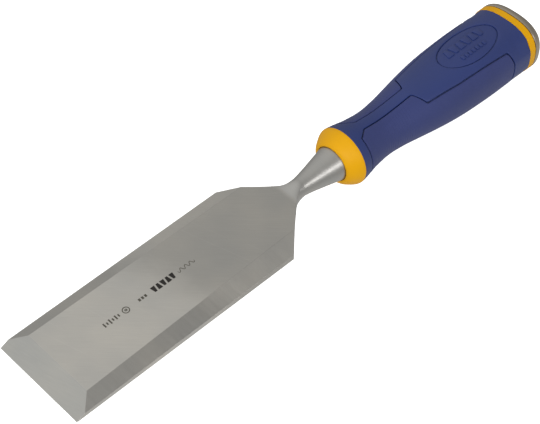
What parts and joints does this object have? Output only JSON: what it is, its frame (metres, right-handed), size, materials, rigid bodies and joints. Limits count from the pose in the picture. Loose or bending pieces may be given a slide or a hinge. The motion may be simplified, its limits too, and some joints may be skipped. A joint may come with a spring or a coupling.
{
  "type": "bench chisel",
  "caption": "Wide bevel-edged bench chisel with a forged steel blade, a two-colour moulded handle with soft side panels and a steel strike cap.",
  "frame": {"origin": "centre of the strike cap's flat face, on the tool's axis", "axes": "+X along the tool from the strike face to the cutting edge, +Y to the left when looking along +X with the bevelled face up, +Z out of the blade's bevelled face"},
  "size_m": [0.3015, 0.051, 0.0308],
  "materials": {
    "blade_steel": "fine ground steel, scratched obliquely; neck and bolster polished",
    "core_plastic": "satin yellow moulded plastic",
    "grip_plastic": "semi-matt blue moulded plastic",
    "panel_rubber": "matt blue soft plastic with fine ribs",
    "cap_steel": "pressed steel, lightly worn rim"
  },
  "bodies": {
    "root": {"blade": "blade_steel", "handle_core": "core_plastic", "grip_sleeve": "grip_plastic", "grip_panel_left": "panel_rubber", "grip_panel_right": "panel_rubber", "strike_cap": "cap_steel"}
  },
  "joints": []
}
